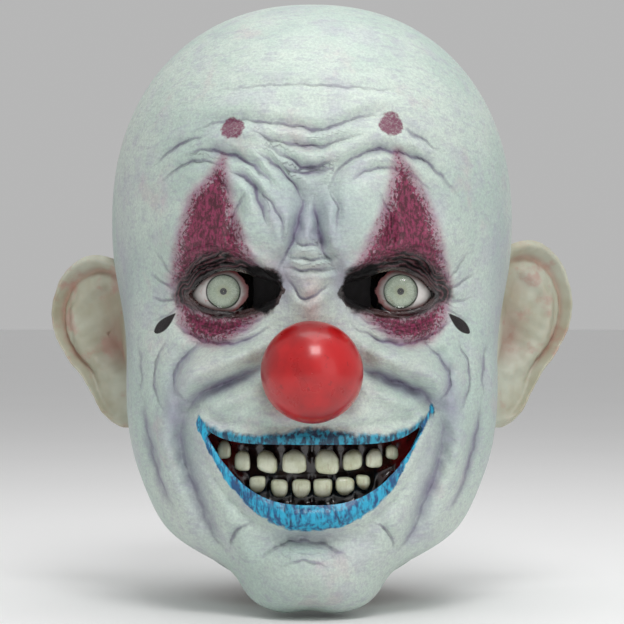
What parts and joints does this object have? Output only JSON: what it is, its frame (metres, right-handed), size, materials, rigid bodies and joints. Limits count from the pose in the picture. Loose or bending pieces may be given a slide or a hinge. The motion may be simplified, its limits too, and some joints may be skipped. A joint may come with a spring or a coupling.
{
  "type": "latex clown halloween mask",
  "caption": "Over-the-head latex clown mask with a ball nose, inset eyes, wide toothed grin, large ears, inner foam pads and two springy nape flaps.",
  "frame": {"origin": "on the head's own vertical axis, level with the bottom of the chin", "axes": "+Z from chin to crown, -Y the way the face looks, +X toward the wearer's left ear"},
  "size_m": [0.2662, 0.2657, 0.2983],
  "materials": {
    "latex_skin": "matte painted latex",
    "latex_ear": "matte latex with pink blotches",
    "nose_red": "gloss",
    "gum": "gloss",
    "tooth": "gloss ivory",
    "eye_white": "gloss",
    "iris": "printed",
    "cornea": "clear",
    "gauze": "matte mesh",
    "foam": "open foam"
  },
  "bodies": {
    "mask": {"head_skin": "latex_skin", "ear_left": "latex_ear", "ear_right": "latex_ear", "nose_ball": "nose_red", "upper_gum": "gum", "lower_gum": "gum", "vision_gauze_left": "gauze", "vision_gauze_right": "gauze", "forehead_pad": "foam", "crown_pad": "foam", "temple_pad_left": "foam", "temple_pad_right": "foam", "eye_shell_left": "eye_white", "iris_left": "iris", "cornea_left": "cornea", "eye_shell_right": "eye_white", "iris_right": "iris", "cornea_right": "cornea", "upper_tooth_1": "tooth", "upper_tooth_2": "tooth", "upper_tooth_3": "tooth", "upper_tooth_4": "tooth", "upper_tooth_5": "tooth", "upper_tooth_6": "tooth", "upper_tooth_7": "tooth", "upper_tooth_8": "tooth", "lower_tooth_1": "tooth", "lower_tooth_2": "tooth", "lower_tooth_3": "tooth", "lower_tooth_4": "tooth", "lower_tooth_5": "tooth", "lower_tooth_6": "tooth"},
    "flap_left": {"rear_flap_left": "latex_skin"},
    "flap_right": {"rear_flap_right": "latex_skin"}
  },
  "joints": [
    {"name": "flap_left_hinge", "type": "hinge", "parent": "mask", "child": "flap_left", "pos_m": [0.045, 0.11457, 0.14968], "axis": [0, -0.3949, -0.9187], "range_deg": [0, 35], "stiffness_Nm_per_rad": 0.05},
    {"name": "flap_right_hinge", "type": "hinge", "parent": "mask", "child": "flap_right", "pos_m": [-0.045, 0.11457, 0.14968], "axis": [0, 0.3949, 0.9187], "range_deg": [0, 35], "stiffness_Nm_per_rad": 0.05}
  ]
}
